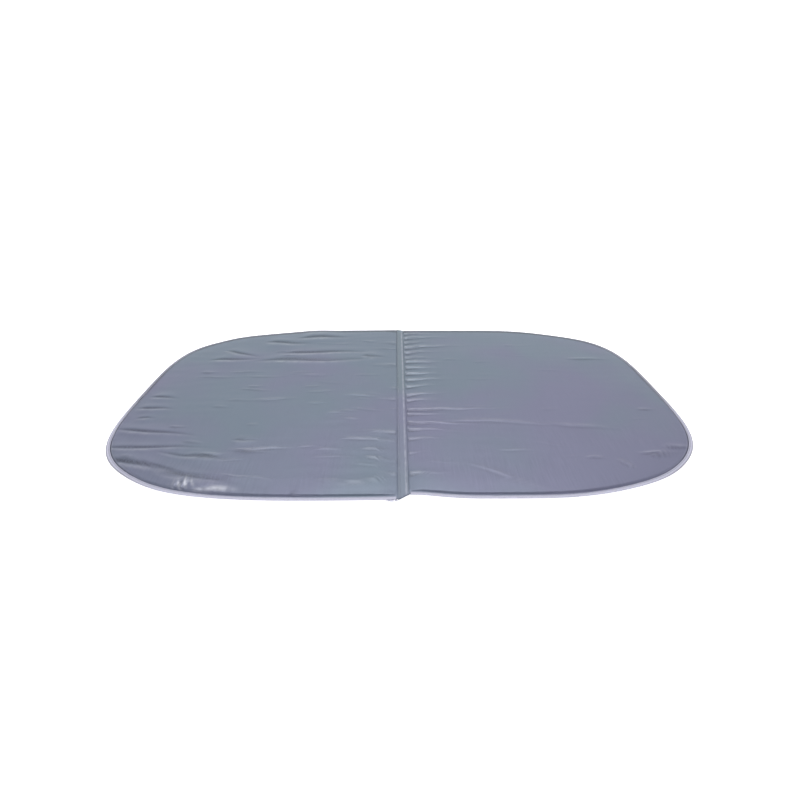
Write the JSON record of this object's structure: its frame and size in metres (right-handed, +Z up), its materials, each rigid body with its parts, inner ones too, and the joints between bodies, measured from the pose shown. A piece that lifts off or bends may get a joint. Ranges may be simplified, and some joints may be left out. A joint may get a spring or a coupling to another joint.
{
  "type": "folding solar blanket",
  "caption": "Flat oval heat-keeping blanket for a spa's water: foam-cored cloth panels with bound edges, folding together along a taped middle seam.",
  "frame": {"origin": "middle of the blanket, on the surface that its underside lies on", "axes": "+X along the blanket from the left panel to the right panel, +Y across it along the seam, +Z up out of its top face"},
  "size_m": [1.5, 0.9, 0.0086],
  "materials": {
    "skin": "silver-coated woven cloth, satin sheen",
    "foam": "closed-cell polyethylene foam, matte",
    "film": "metallised polyester film",
    "binding": "woven polyester tape, semi-matte",
    "seam": "coated cloth tape, satin",
    "thread": "spun polyester sewing thread"
  },
  "bodies": {
    "left_panel": {"left_bottom_skin": "skin", "left_foam_core": "foam", "left_reflective_film": "film", "left_top_skin": "skin", "left_edge_binding": "binding", "left_binding_needle_thread": "thread", "left_binding_bobbin_thread": "thread"},
    "seam": {"seam_lower_tape": "seam", "left_seam_allowance": "skin", "right_seam_allowance": "skin", "seam_upper_tape": "seam", "left_seam_needle_thread": "thread", "left_seam_bobbin_thread": "thread", "right_seam_needle_thread": "thread", "right_seam_bobbin_thread": "thread"},
    "right_panel": {"right_bottom_skin": "skin", "right_foam_core": "foam", "right_reflective_film": "film", "right_top_skin": "skin", "right_edge_binding": "binding", "right_binding_needle_thread": "thread", "right_binding_bobbin_thread": "thread"}
  },
  "joints": [
    {"name": "left_fold", "type": "hinge", "parent": "left_panel", "child": "seam", "pos_m": [-0.012, 0, 0.00265], "axis": [0, -1, 0], "range_deg": [0, 90]},
    {"name": "right_fold", "type": "hinge", "parent": "seam", "child": "right_panel", "pos_m": [0.012, 0, 0.00265], "axis": [0, -1, 0], "range_deg": [0, 90]}
  ],
  "couplings": [
    {"joint": "right_fold", "follows": "left_fold", "ratio": 1}
  ]
}
